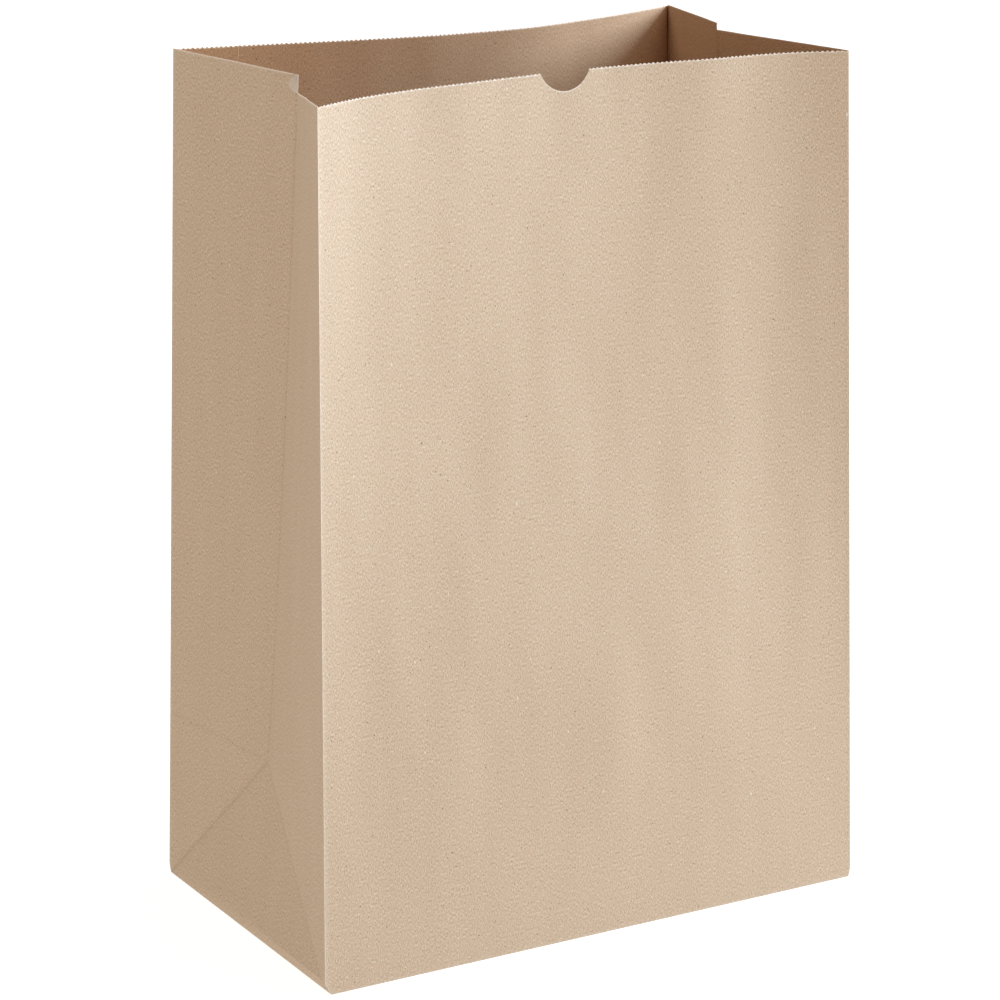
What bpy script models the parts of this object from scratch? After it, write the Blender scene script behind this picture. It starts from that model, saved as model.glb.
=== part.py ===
"""Brown paper bag: one sheet, gusseted, pasted and folded to a flat bottom, standing open.

Run with: blender --background --python part.py
Metres, +Z up. The origin is the middle of the flat bottom, and the front panel faces -Y.
"""
import math

import bmesh
import bpy
from mathutils import Matrix, Vector

# The bag as it is sold: panel width, gusset depth, upright height and one layer of paper
WIDTH = 0.3048
DEPTH = 0.1778
HEIGHT = 0.4318
PAPER = 0.00015

# How far each upright edge has moved at the mouth from straight above its base corner
FRONT_LEFT_LEAN = (-0.0049, -0.0003)
FRONT_RIGHT_LEAN = (-0.0095, 0.0135)
BACK_RIGHT_LEAN = (-0.0025, 0.0077)
BACK_LEFT_LEAN = (0.0049, -0.0098)

# How far an upright edge stands out sideways past its base corner, and the height it takes to do so
FRONT_LEFT_TUCK = 0.0032
OTHER_TUCK = 0.0006
TUCK_HEIGHT = 0.007

# How far below the full height the mouth is cut at each edge and on both sides of each gusset fold
FRONT_LEFT_DROP = 0.0011
FRONT_RIGHT_DROP = 0.0004
BACK_RIGHT_DROP = 0.0016
BACK_LEFT_DROP = 0.0
LEFT_FOLD_BACK_DROP = 0.0018
LEFT_FOLD_FRONT_DROP = 0.0105
RIGHT_FOLD_BACK_DROP = -0.0024
RIGHT_FOLD_FRONT_DROP = 0.0011

# How far the mouth bows in at equal steps along the front and back panels, and how fast that fades below
FRONT_BOW = (0.0, 0.0114, 0.0170, 0.0190, 0.0205, 0.0196, 0.0145, 0.0112, 0.0)
BACK_BOW = (0.0, 0.0111, 0.0199, 0.0261, 0.0252, 0.0211, 0.0137, 0.0054, 0.0)
BOW_FADE = 1.25
BACK_CREASE_DENT = 0.0022

# The saw teeth of the front and back edges, and the thumb notch in the front edge
TOOTH_DEPTH = 0.0008
TOOTH_PITCH = 0.0024
NOTCH_WIDTH = 0.0286
NOTCH_DEPTH = 0.0097
NOTCH_SHIFT = -0.0021

# How far the half-round tab at a step in a gusset's edge is turned out from the back half
TAB_TURN = math.radians(43)

# The lengthwise seam on the back panel: where its outer edge lies from the left, and its overlap
SEAM_OUTER_EDGE = 0.008
SEAM_LAP = 0.025
SEAM_STEP = 0.0003
SEAM_EASE = 0.04

# The pasted bottom: how far its front and back flaps overlap, and their setback from the base's edge
BOTTOM_LAP = 0.026
FLAP_SETBACK = 0.0002

# Columns across a panel and half a gusset, rows below and above the gusset's knee, and the cut band
PANEL_COLUMNS = 16
GUSSET_COLUMNS = 4
LOWER_ROWS = 4
UPPER_ROWS = 9
BAND = 0.016
NOTCH_STEPS = 12
TAB_POINTS = 16
MERGE = 1e-6

HALF = DEPTH / 2
TURN = 2 * WIDTH + 2 * DEPTH
TALL = HEIGHT + BAND
RIGHT_FOLD = WIDTH + HALF
BACK_START = WIDTH + DEPTH
BACK_END = 2 * WIDTH + DEPTH
LEFT_FOLD = BACK_END + HALF
FLAP_REACH = HALF + BOTTOM_LAP / 2


class Edge:
    """An upright fold of the bag, from its base corner to the mouth."""

    def __init__(self, side_x, side_y, lean, tuck, drop):
        self.base = Vector((side_x * WIDTH / 2, side_y * HALF))
        self.lean = Vector(lean)
        self.tuck = Vector((side_x * tuck, 0))
        self.top = HEIGHT - drop

    def at(self, z):
        """Its plan position at a height."""
        rise = z / HEIGHT
        spread = min(z / TUCK_HEIGHT, 1) * (1 - rise)
        return self.base + self.lean * rise + self.tuck * spread


FRONT_LEFT = Edge(-1, -1, FRONT_LEFT_LEAN, FRONT_LEFT_TUCK, FRONT_LEFT_DROP)
FRONT_RIGHT = Edge(1, -1, FRONT_RIGHT_LEAN, OTHER_TUCK, FRONT_RIGHT_DROP)
BACK_RIGHT = Edge(1, 1, BACK_RIGHT_LEAN, OTHER_TUCK, BACK_RIGHT_DROP)
BACK_LEFT = Edge(-1, 1, BACK_LEFT_LEAN, OTHER_TUCK, BACK_LEFT_DROP)


def inward(chord):
    """The unit normal of a run round the bag that points inside it."""
    return Vector((-chord.y, chord.x)).normalized()


def through(values, share):
    """A smooth curve through values at equal steps, read at a share of its run."""
    count = len(values) - 1
    k = min(int(share * count), count - 1)
    t = share * count - k
    here, there = values[k], values[k + 1]
    before = values[k - 1] if k > 0 else 2 * here - there
    after = values[k + 2] if k + 2 <= count else 2 * there - here
    start_slope = (there - before) / 2
    end_slope = (after - here) / 2
    bend = 3 * (there - here) - 2 * start_slope - end_slope
    twist = start_slope + end_slope - 2 * (there - here)
    return here + t * (start_slope + t * (bend + t * twist))


def panel_point(start, end, along, z, bow):
    """A plan point of the front or back panel, which bows in more and more towards the mouth."""
    first, last = start.at(z), end.at(z)
    share = along / WIDTH
    depth = through(bow, share) * (z / HEIGHT) ** BOW_FADE
    return first.lerp(last, share) + inward(last - first) * depth


def crease_dent(along, z):
    """How far the back panel gives way at the crease where the bottom lay folded up against it."""
    rise = z / HALF if z < HALF else (HEIGHT - z) / (HEIGHT - HALF)
    return BACK_CREASE_DENT * max(rise, 0) * math.sin(math.pi * along / WIDTH)


def seam_lift(from_left):
    """How far the seam's outer layer lifts the back panel, by distance from the panel's left edge."""
    if from_left < SEAM_OUTER_EDGE + MERGE:
        return 0
    beyond = from_left - SEAM_OUTER_EDGE - SEAM_LAP - SEAM_STEP
    return PAPER * max(0, min(1, 1 - beyond / SEAM_EASE))


def fold_push(chord):
    """How deep a gusset's fold lies behind the line between the gusset's two edges."""
    return math.sqrt(max(HALF**2 - (chord / 2) ** 2, 0))


def gusset_point(start, end, along, z):
    """A plan point of a gusset, whose halves keep their length as its fold is pushed in.

    Below the knee, at half the gusset's depth, a triangle runs down to the bottom's edge.
    """
    first, last = start.at(z), end.at(z)
    share = 1 - abs(along / HALF - 1)
    if z < HALF:
        push = fold_push((end.at(HALF) - start.at(HALF)).length) * min(share, z / HALF)
    else:
        push = fold_push((last - first).length) * share
    near = first if along < HALF else last
    return near.lerp((first + last) / 2, share) + inward(last - first) * push


def back_point(along, z):
    """A plan point of the back panel, with its crease and its seam."""
    point = panel_point(BACK_RIGHT, BACK_LEFT, along, z, BACK_BOW)
    side = inward(BACK_LEFT.at(z) - BACK_RIGHT.at(z))
    return point + side * (crease_dent(along, z) - seam_lift(WIDTH - along))


def plan_point(u, z):
    """The plan point of the sheet at a distance round the bag and a height."""
    if u <= WIDTH:
        return panel_point(FRONT_LEFT, FRONT_RIGHT, u, z, FRONT_BOW)
    if u <= BACK_START:
        return gusset_point(FRONT_RIGHT, BACK_RIGHT, u - WIDTH, z)
    if u <= BACK_END:
        return back_point(u - BACK_START, z)
    return gusset_point(BACK_LEFT, FRONT_LEFT, u - BACK_END, z)


def steps(start, end, count):
    """The ends of equal steps from one value to another."""
    return [start + (end - start) * (k + 1) / count for k in range(count)]


def cut(bm, faces, point, normal, **trim):
    """Scores some of the flat sheet's faces along a line, or trims off one side of it."""
    geom = set(faces)
    for face in faces:
        geom.update(face.verts)
        geom.update(face.edges)
    bmesh.ops.bisect_plane(
        bm, geom=list(geom), dist=MERGE, plane_co=(*point, 0), plane_no=(*normal, 0), **trim
    )


def faces_between(bm, low, high, floor=0.0, ceiling=TALL):
    """The flat sheet's faces between two distances round the bag and two heights."""
    centres = ((f, f.calc_center_median()) for f in bm.faces)
    return [f for f, c in centres if low < c.x < high and floor < c.y < ceiling]


def flat_sheet():
    """The flat sheet, one turn of the bag long, scored along its folds, columns and rows."""
    bm = bmesh.new()
    bmesh.ops.create_grid(bm, x_segments=1, y_segments=1, size=0.5)
    bmesh.ops.scale(bm, vec=(TURN, TALL, 1), verts=bm.verts)
    bmesh.ops.translate(bm, vec=(TURN / 2, TALL / 2, 0), verts=bm.verts)
    columns = steps(0, WIDTH, PANEL_COLUMNS) + steps(BACK_START, BACK_END, PANEL_COLUMNS)
    for start in (WIDTH, RIGHT_FOLD, BACK_END, LEFT_FOLD):
        columns += steps(start, start + HALF, GUSSET_COLUMNS)
    for seam in (SEAM_OUTER_EDGE, SEAM_OUTER_EDGE + SEAM_LAP):
        columns += [BACK_END - seam, BACK_END - seam - SEAM_STEP]
    rows = [TUCK_HEIGHT] + steps(0, HALF, LOWER_ROWS) + steps(HALF, HEIGHT - BAND, UPPER_ROWS)
    for u in columns:
        cut(bm, bm.faces[:], (u, 0), (1, 0))
    for z in rows:
        cut(bm, bm.faces[:], (0, z), (0, 1))
    for fold in (RIGHT_FOLD, LEFT_FOLD):
        for lean in (1, -1):
            cut(bm, faces_between(bm, fold - HALF, fold + HALF, 0, HALF), (fold, HALF), (lean, 1))
    return bm


def trim_mouth(bm):
    """Cuts the mouth's edge straight from fold to fold, with a step at each gusset's middle fold."""
    runs = (
        (0, FRONT_LEFT.top, WIDTH, FRONT_RIGHT.top),
        (WIDTH, FRONT_RIGHT.top, RIGHT_FOLD, HEIGHT - RIGHT_FOLD_FRONT_DROP),
        (RIGHT_FOLD, HEIGHT - RIGHT_FOLD_BACK_DROP, BACK_START, BACK_RIGHT.top),
        (BACK_START, BACK_RIGHT.top, BACK_END, BACK_LEFT.top),
        (BACK_END, BACK_LEFT.top, LEFT_FOLD, HEIGHT - LEFT_FOLD_BACK_DROP),
        (LEFT_FOLD, HEIGHT - LEFT_FOLD_FRONT_DROP, TURN, FRONT_LEFT.top),
    )
    for start, low, end, high in runs:
        up = Vector((low - high, end - start, 0))
        cut(bm, faces_between(bm, start, end, HEIGHT - BAND), (start, low), up.xy)
        band = faces_between(bm, start, end, HEIGHT - BAND)
        waste = [f for f in band if (f.calc_center_median() - Vector((start, low, 0))).dot(up) > 0]
        bmesh.ops.delete(bm, geom=waste, context="FACES")


def mouth_edges(bm, start, end):
    """The edges of the mouth between two distances round the sheet."""
    found = []
    for edge in bm.edges:
        low, high = sorted(v.co.x for v in edge.verts)
        above = all(v.co.y > HEIGHT - BAND + MERGE for v in edge.verts)
        if len(edge.link_faces) == 1 and above and start - MERGE < low < high - MERGE < end:
            found.append(edge)
    return found


def cut_notch(bm):
    """Lowers the front edge along an arc to a thumb notch, and gives where its two lips are."""
    middle = WIDTH / 2 + NOTCH_SHIFT
    reach = NOTCH_WIDTH / 2
    radius = (reach**2 + NOTCH_DEPTH**2) / (2 * NOTCH_DEPTH)
    widest = math.asin(reach / radius)
    for k in range(NOTCH_STEPS + 1):
        angle = widest * (2 * k / NOTCH_STEPS - 1)
        band = faces_between(bm, 0, WIDTH, HEIGHT - BAND)
        cut(bm, band, (middle + radius * math.sin(angle), 0), (1, 0))
    for vert in {v for e in mouth_edges(bm, middle - reach, middle + reach) for v in e.verts}:
        off = vert.co.x - middle
        if abs(off) < reach - MERGE:
            vert.co.y -= math.sqrt(radius**2 - off**2) - (radius - NOTCH_DEPTH)
    return middle - reach, middle + reach


def cut_teeth(bm, panel, start, end):
    """Gives a stretch of a panel's mouth its saw teeth, counted from where the panel starts."""
    column = WIDTH / PANEL_COLUMNS
    pitch = column / round(column / TOOTH_PITCH)
    for edge in mouth_edges(bm, start, end):
        pieces = round(2 * edge.calc_length() / pitch)
        if pieces > 1:
            bmesh.ops.subdivide_edges(bm, edges=[edge], cuts=pieces - 1)
    for vert in {v for e in mouth_edges(bm, start, end) for v in e.verts}:
        phase = (vert.co.x - panel) / pitch
        vert.co.y -= TOOTH_DEPTH * 2 * abs(phase - round(phase))


def add_tab(bm, mark, fold, side, low, high):
    """Adds the half-round tab beside the step at a gusset's middle fold, and marks its points."""
    radius = (high - low) / 2
    made = bmesh.ops.create_circle(bm, cap_ends=True, segments=TAB_POINTS, radius=radius)["verts"]
    bmesh.ops.translate(bm, vec=(fold, low + radius, 0), verts=made)
    for vert in made:
        vert[mark] = side if abs(vert.co.x - fold) > MERGE else 0
    faces = list({f for v in made for f in v.link_faces})
    cut(bm, faces, (fold, 0), (side, 0), clear_inner=True)


def tab_point(fold, side, off, z):
    """A plan point of a tab, a distance off its fold."""
    hinge = plan_point(fold, z)
    back = BACK_LEFT if side > 0 else BACK_RIGHT
    away = (back.at(z) - hinge).normalized()
    return hinge + Matrix.Rotation(side * TAB_TURN, 2) @ away * off


def fold_sheet(bm, mark):
    """Folds the flat sheet up into the bag and pastes its ends and its bottom edge's face."""
    for vert in bm.verts:
        u, z, side = vert.co.x, vert.co.y, vert[mark]
        if side:
            fold = LEFT_FOLD if side > 0 else RIGHT_FOLD
            point = tab_point(fold, side, abs(u - fold), z)
        else:
            point = plan_point(u, z)
        vert.co = (*point, PAPER + z)
    bmesh.ops.remove_doubles(bm, verts=bm.verts, dist=MERGE)
    low = [e for e in bm.edges if max(v.co.z for v in e.verts) < PAPER + MERGE]
    bmesh.ops.contextual_create(bm, geom=low)


def mark_layers(bm):
    """Weights each point by its layers of paper: two in the seam's overlap and one elsewhere."""
    group = bm.verts.layers.deform.verify()
    overlap = BACK_END - SEAM_OUTER_EDGE - SEAM_LAP, BACK_END - SEAM_OUTER_EDGE - SEAM_STEP
    for vert in bm.verts:
        doubled = overlap[0] - MERGE < vert.co.x < overlap[1] + MERGE
        vert[group][0] = 1.0 if doubled else 0.5


def paper():
    """Unbleached kraft paper."""
    material = bpy.data.materials.new("kraft_paper")
    material.use_nodes = True
    shader = material.node_tree.nodes["Principled BSDF"]
    shader.inputs["Base Color"].default_value = (0.56, 0.42, 0.29, 1)
    shader.inputs["Roughness"].default_value = 0.85
    shader.inputs["Metallic"].default_value = 0.0
    return material


def add_object(name, bm):
    """Puts a finished mesh in the scene."""
    mesh = bpy.data.meshes.new(name)
    bm.to_mesh(mesh)
    bm.free()
    thing = bpy.data.objects.new(name, mesh)
    bpy.context.collection.objects.link(thing)
    return thing


def flap(name, outline, low, high):
    """One pasted layer of the bottom, to be joined to the bag: an outline between two heights."""
    bm = bmesh.new()
    face = bm.faces.new([bm.verts.new((*point, low)) for point in outline])
    wall = bmesh.ops.extrude_face_region(bm, geom=[face])["geom"]
    top = [v for v in wall if isinstance(v, bmesh.types.BMVert)]
    bmesh.ops.translate(bm, vec=(0, 0, high - low), verts=top)
    bmesh.ops.recalc_face_normals(bm, faces=bm.faces)
    thing = add_object(name, bm)
    thing.hide_render = True
    thing.display_type = "WIRE"
    return thing


def bottom_flaps():
    """The folded layers of the bottom, outermost first."""
    wide = WIDTH / 2 - FLAP_SETBACK
    deep = HALF - FLAP_SETBACK
    long_flap = [(-wide, deep), (wide, deep), (WIDTH / 2 - FLAP_REACH, HALF - FLAP_REACH)]
    long_flap.append((FLAP_REACH - WIDTH / 2, HALF - FLAP_REACH))
    inside = WIDTH / 2 - PAPER / 2
    side = [(inside, -HALF + PAPER / 2), (inside, HALF - PAPER / 2)]
    side += [(WIDTH / 2 - FLAP_REACH, HALF - PAPER / 2), (WIDTH / 2 - FLAP_REACH, -HALF + PAPER / 2)]
    return (
        flap("back_bottom_flap", long_flap, 0, 1.6 * PAPER),
        flap("front_bottom_flap", [(x, -y) for x, y in long_flap], 0.4 * PAPER, 1.4 * PAPER),
        flap("right_bottom_flap", side, 1.5 * PAPER, 3 * PAPER),
        flap("left_bottom_flap", [(-x, y) for x, y in side], 1.5 * PAPER, 3 * PAPER),
    )


def paper_bag():
    """The whole bag: the folded sheet at its real thickness, with the layers of its bottom."""
    bm = flat_sheet()
    trim_mouth(bm)
    left_lip, right_lip = cut_notch(bm)
    cut_teeth(bm, 0, 0, left_lip)
    cut_teeth(bm, 0, right_lip, WIDTH)
    cut_teeth(bm, BACK_START, BACK_START, BACK_END)
    mark = bm.verts.layers.int.new("tab")
    add_tab(bm, mark, RIGHT_FOLD, -1, HEIGHT - RIGHT_FOLD_FRONT_DROP, HEIGHT - RIGHT_FOLD_BACK_DROP)
    add_tab(bm, mark, LEFT_FOLD, 1, HEIGHT - LEFT_FOLD_FRONT_DROP, HEIGHT - LEFT_FOLD_BACK_DROP)
    mark_layers(bm)
    bmesh.ops.triangulate(bm, faces=bm.faces[:])
    fold_sheet(bm, mark)
    bmesh.ops.triangulate(bm, faces=bm.faces[:])
    bmesh.ops.recalc_face_normals(bm, faces=bm.faces)
    bag = add_object("paper_bag", bm)
    bag.data.materials.append(paper())
    bag.vertex_groups.new(name="layers")
    wall = bag.modifiers.new("Paper", "SOLIDIFY")
    wall.thickness = 2 * PAPER
    wall.offset = -1
    wall.use_even_offset = True
    wall.use_quality_normals = True
    wall.vertex_group = "layers"
    for layer in bottom_flaps():
        join = bag.modifiers.new(layer.name, "BOOLEAN")
        join.operation = "UNION"
        join.solver = "EXACT"
        join.object = layer
    return bag


def main():
    """Clears the scene and makes the bag."""
    for old in list(bpy.data.objects):
        bpy.data.objects.remove(old)
    paper_bag()


main()
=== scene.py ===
"""Brown kraft paper sack, standing open: its folded sheet, its finish, and a plain studio."""
import math

import bmesh
import bpy
from bpy.props import FloatProperty, FloatVectorProperty, PointerProperty
from mathutils import Matrix, Vector, noise


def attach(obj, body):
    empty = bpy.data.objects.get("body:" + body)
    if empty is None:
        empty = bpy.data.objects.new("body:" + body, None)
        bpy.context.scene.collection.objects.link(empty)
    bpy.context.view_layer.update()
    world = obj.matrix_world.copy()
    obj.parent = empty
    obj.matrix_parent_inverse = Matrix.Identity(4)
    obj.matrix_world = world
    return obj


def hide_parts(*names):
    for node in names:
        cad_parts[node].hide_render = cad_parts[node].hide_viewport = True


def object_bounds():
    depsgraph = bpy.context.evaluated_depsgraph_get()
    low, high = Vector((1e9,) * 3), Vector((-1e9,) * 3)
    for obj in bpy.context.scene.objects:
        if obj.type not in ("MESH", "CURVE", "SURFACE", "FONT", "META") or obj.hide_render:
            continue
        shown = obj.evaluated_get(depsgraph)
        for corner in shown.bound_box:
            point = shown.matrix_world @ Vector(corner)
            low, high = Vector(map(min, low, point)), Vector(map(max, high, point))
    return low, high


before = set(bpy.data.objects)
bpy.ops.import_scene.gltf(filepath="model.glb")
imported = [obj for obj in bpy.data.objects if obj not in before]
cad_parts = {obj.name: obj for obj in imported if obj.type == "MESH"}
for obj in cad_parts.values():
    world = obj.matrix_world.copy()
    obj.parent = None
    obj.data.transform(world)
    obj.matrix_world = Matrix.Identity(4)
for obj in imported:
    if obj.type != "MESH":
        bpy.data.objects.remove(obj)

bl_info = {
    "name": "Paper Sack",
    "version": (1, 0, 0),
    "blender": (4, 5, 0),
    "location": "3D View > Sidebar > Paper Sack",
    "description": "Makes an open flat-bottomed kraft paper sack and the studio it stands in",
    "category": "Object",
}

CAD_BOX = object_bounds()
MILLIMETRE = 0.001

# The smallest distance between two points
MERGE = 1e-6

# Rows of cells below the mouth's edge and above the base, in metres, and the steps of the notch's arc
RIM_ROWS = (0.0014, 0.0028, 0.0046, 0.007)
BASE_ROWS = (0.0004, 0.001, 0.002)
NOTCH_POINTS = 28

# The sheet above the mouth that is cut off again, and the rim below it that the cuts reach, in metres
RIM_BAND = 0.0125

# Columns and rows beside a fold and a crease, in widths of its pressed line
FOLD_COLUMNS = (0.4, 0.9, 1.5, 2.3)
KNEE_ROWS = (-1.5, -0.8, 0.8, 1.5)
SLANT_ROWS = (-2.1, -1.1, 0, 1.1, 2.1)

# How far a fold and a crease are followed, in widths of the pressed line
FOLD_SPAN = 4
CREASE_SPAN = 5

# Heights in which the curl, a pressed edge and a gusset's middle fold come in, in metres
CURL_RISE = 0.2
EDGE_RISE = 0.004
FOLD_RISE = 0.01

# How far the seam's step fades across the back, and the step along the sheet that finds a fold's ridge
SEAM_FADE = 0.04
RIDGE_STEP = 0.002

# How far from a fold and from the base the slow waves set in, and from a fold the fine unevenness
WAVE_CALM = 0.03
WAVE_RISE = 0.12
COCKLE_CALM = 0.006

# The slow waves, each with its share of the height, how often it goes into a wave's width, how tall
# it is in widths, and its own layer of the noise; and the layer of the fine unevenness
WAVE_LAYERS = ((1.0, 1.0, 4.0, 3.1), (0.5, 2.3, 1.2, 9.4), (0.16, 4.6, 0.7, 1.8))
COCKLE_LAYER = 5.7

# How many sides the tabs' circle has
TAB_SIDES = 32

# Where the base lies on the map of the flat sheet, in metres
BASE_PLACE = (0.5, -0.5)

# How strong the creases are in a gusset's front half, and at their level line
FRONT_CREASE = 0.45
LEVEL_CREASE = 0.5

# How much of a crease's dirt and painted shade a gusset's middle fold takes on, how high the painted
# highlight above the base's edge reaches, and how frayed a tab is beside the mouth
FOLD_DIRT_AND_SHADE = 0.6
BASE_HIGHLIGHT = 0.0012
TAB_FRAY = 0.85

# Edges that turn more than this are shaded as sharp
CRISP = math.radians(20)

# The specks: how far apart, the share of places without one, and the largest radius, in millimetres
BARK_SPECKS = (5.0, 0.15, 0.42)
PRINT_SPECKS = (2.4, 0.3, 0.4)
WHITE_FLECKS = (4.0, 0.4, 0.4)

# The parts of the noise's range over which the sandy grain, the flocks and the clouds go from none to full
SAND_RANGE = (0.26, 0.74)
FLOCK_RANGE = (0.35, 0.7)
CLOUD_RANGE = (0.35, 0.7)

# The power with which the fray falls off below the cut
FRAY_FALL = 3.0

# How strongly each tint is laid over the sheet, from 0 to 1
FLOCK_TINT = 0.5
CLOUD_TINT = 0.09
BARK_TINT = 0.9
PRINT_TINT = 0.65
FLECK_TINT = 0.7
# The paler line along the pressed edges and just above the base's edge is a painted highlight
HIGHLIGHT_TINT = 0.1
FRAY_TINT = 0.7
# The darker line along the creases and the gussets' middle folds is dirt and painted shade
CREASE_DIRT_AND_SHADE_TINT = 0.1

# Half the floor's width, and the gap between it and the base
FLOOR_REACH = 10
FLOOR_GAP = 0.1 * MILLIMETRE

# The softboxes: how far they stand from the sack, the height they face, and their sizes
LIGHT_DISTANCE = 2.2
LIGHT_AIM = 0.22
KEY_SIZE = (1.4, 1.1)
FILL_SIZE = (1.8, 1.3)
FILL_TURN = math.radians(20)
FILL_RISE = math.radians(30)

# The room: its brightness, and the heights, as sines, at which its bands begin and end
ROOM_LIGHT = 1.2
HORIZON_TOP = 0.15
GLOOM_BAND = (0.3, 0.55)
ZENITH_START = 0.74

# How far the bottom's flaps stay back from the base's edge, and the gap between two layers
FLAP_SETBACK = 0.2 * MILLIMETRE
LAYER_GAP = 0.01 * MILLIMETRE


def linear(code):
    """An sRGB hex colour as linear red, green and blue."""
    parts = [int(code.lstrip("#")[k : k + 2], 16) / 255 for k in (0, 2, 4)]
    return [p / 12.92 if p <= 0.04045 else ((p + 0.055) / 1.055) ** 2.4 for p in parts]


def length(name, description, default):
    """A size that the user can change."""
    return FloatProperty(
        name=name, description=description, default=default, unit="LENGTH", subtype="DISTANCE", precision=5
    )


def plan_move(name, description, default):
    """A move in plan that the user can change."""
    return FloatVectorProperty(
        name=name, description=description, default=default, size=2, unit="LENGTH", precision=5
    )


def colour(name, description, code):
    """A colour that the user can change."""
    return FloatVectorProperty(
        name=name, description=description, default=linear(code), subtype="COLOR", min=0, max=1
    )


class SackSettings(bpy.types.PropertyGroup):
    """The sack's sizes."""

    width: length("Width", "Width of the front and back panels", 0.3048)
    depth: length("Depth", "Depth of each gusset when it is pulled flat", 0.1778)
    height: length("Height", "Upright height of the longest edge", 0.4318)
    paper: length("Paper", "Thickness of one layer", 0.00022)
    front_left_lean: plan_move("Front left lean", "Mouth corner's move from its base", (-0.0049, -0.0003))
    front_right_lean: plan_move("Front right lean", "Mouth corner's move from its base", (-0.0095, 0.0135))
    back_right_lean: plan_move("Back right lean", "Mouth corner's move from its base", (-0.0025, 0.0077))
    back_left_lean: plan_move("Back left lean", "Mouth corner's move from its base", (0.0049, -0.0098))
    front_left_tuck: length("Front left tuck", "How far the edge stands out past its base", 0.0032)
    tuck: length("Tuck", "How far the other edges stand out past their base", 0.0006)
    tuck_height: length("Tuck height", "Height in which an edge comes out to its place", 0.006)
    front_left_drop: length("Front left drop", "Height cut off at this edge", 0.0011)
    front_right_drop: length("Front right drop", "Height cut off at this edge", 0.0004)
    back_right_drop: length("Back right drop", "Height cut off at this edge", 0.0016)
    back_left_drop: length("Back left drop", "Height cut off at this edge", 0.0)
    left_fold_back_drop: length("Left fold back drop", "Height cut off behind the left fold", 0.0018)
    left_fold_front_drop: length("Left fold front drop", "Height cut off before the left fold", 0.0105)
    right_fold_back_drop: length("Right fold back drop", "Height cut off behind the right fold", -0.0024)
    right_fold_front_drop: length("Right fold front drop", "Height cut off before it", 0.0011)
    front_bow: FloatVectorProperty(
        name="Front bow",
        description="How far the front panel bows in at the mouth, at eighths of its width",
        default=(0.0, 0.0114, 0.0170, 0.0190, 0.0205, 0.0196, 0.0145, 0.0112, 0.0),
        size=9,
        unit="LENGTH",
    )
    back_bow: FloatVectorProperty(
        name="Back bow",
        description="How far the back panel bows in at the mouth, at eighths of its width",
        default=(0.0, 0.0111, 0.0199, 0.0261, 0.0252, 0.0211, 0.0137, 0.0054, 0.0),
        size=9,
        unit="LENGTH",
    )
    bow_fade: FloatProperty(
        name="Bow fade", description="Power of the height with which the bow grows", default=1.25
    )
    crease_dent: length("Crease dent", "How far the back gives way at its crease", 0.0022)
    tooth_pitch: length("Tooth pitch", "Spacing of the saw teeth", 0.0024)
    tooth_depth: length("Tooth depth", "Depth of the saw teeth", 0.0008)
    notch_width: length("Notch width", "Width of the thumb notch", 0.0286)
    notch_depth: length("Notch depth", "Depth of the thumb notch", 0.0097)
    notch_shift: length("Notch shift", "Notch's place from the middle of the front", -0.0021)
    tab_turn: FloatProperty(
        name="Tab turn",
        description="Angle between a gusset's back half and the tab at its step",
        default=math.radians(43),
        unit="ROTATION",
        subtype="ANGLE",
    )
    seam_edge: length("Seam edge", "Outer edge of the seam from the back's left edge", 0.008)
    seam_lap: length("Seam lap", "Overlap of the seam", 0.025)
    bottom_lap: length("Bottom lap", "Overlap of the bottom's long flaps", 0.026)
    flap_paper: length("Flap paper", "Thickness of a long flap, pasted flat under the base", 0.0001)
    cell: length("Cell", "Size of the mesh's cells", 0.004)
    pinch: length("Pinch", "How far a pressed edge stands out", 0.00026)
    gusset_pinch: length("Gusset pinch", "How far a gusset's middle fold stands in", 0.00012)
    crease: length("Crease", "Depth of the creases round the bottom's triangles", 0.00022)
    pinch_reach: length("Pinch reach", "Width of a fold's pressed line", 0.0012)
    curl: length("Curl", "How far a panel curls in beside its upright folds", 0.0017)
    curl_reach: length("Curl reach", "How far from a fold the panel curls", 0.013)
    bulge: length("Bulge", "How far the front and back belly out above the bottom", 0.0045)
    bulge_top: length("Bulge top", "Height at which they stop bellying out", 0.3)
    wave: length("Wave", "Height of the slow waves in the open panels", 0.0011)
    wave_width: length("Wave width", "Width of the slow waves", 0.055)
    cockle: length("Cockle", "Height of the fine unevenness of the sheet", 0.00006)
    cockle_width: length("Cockle width", "Width of the fine unevenness", 0.011)


class FinishSettings(bpy.types.PropertyGroup):
    """The paper's colours."""

    kraft: colour("Kraft", "Unbleached sheet", "#E5D1B7")
    pulp: colour("Pulp", "Thin, darker places in the sheet", "#AE9274")
    warm: colour("Warm", "Redder fibre flocks", "#CEB195")
    bark: colour("Bark", "Dark specks of bark and old print", "#4E3A2C")
    # The wire side's tint is its own tone together with painted shade: it darkens and reddens the inside of
    # the sack
    inner: colour("Inner", "The wire side, a little darker and redder, as a tint", "#FFECDA")
    bleached: colour("Bleached", "Pale flecks of recycled white fibre", "#F1E8DB")
    cut_edge: colour("Cut edge", "Torn fibres of a cut edge", "#F8EEDF")
    roughness: FloatProperty(
        name="Roughness", description="Roughness of the sheet", default=0.82, min=0, max=1, subtype="FACTOR"
    )


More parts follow.
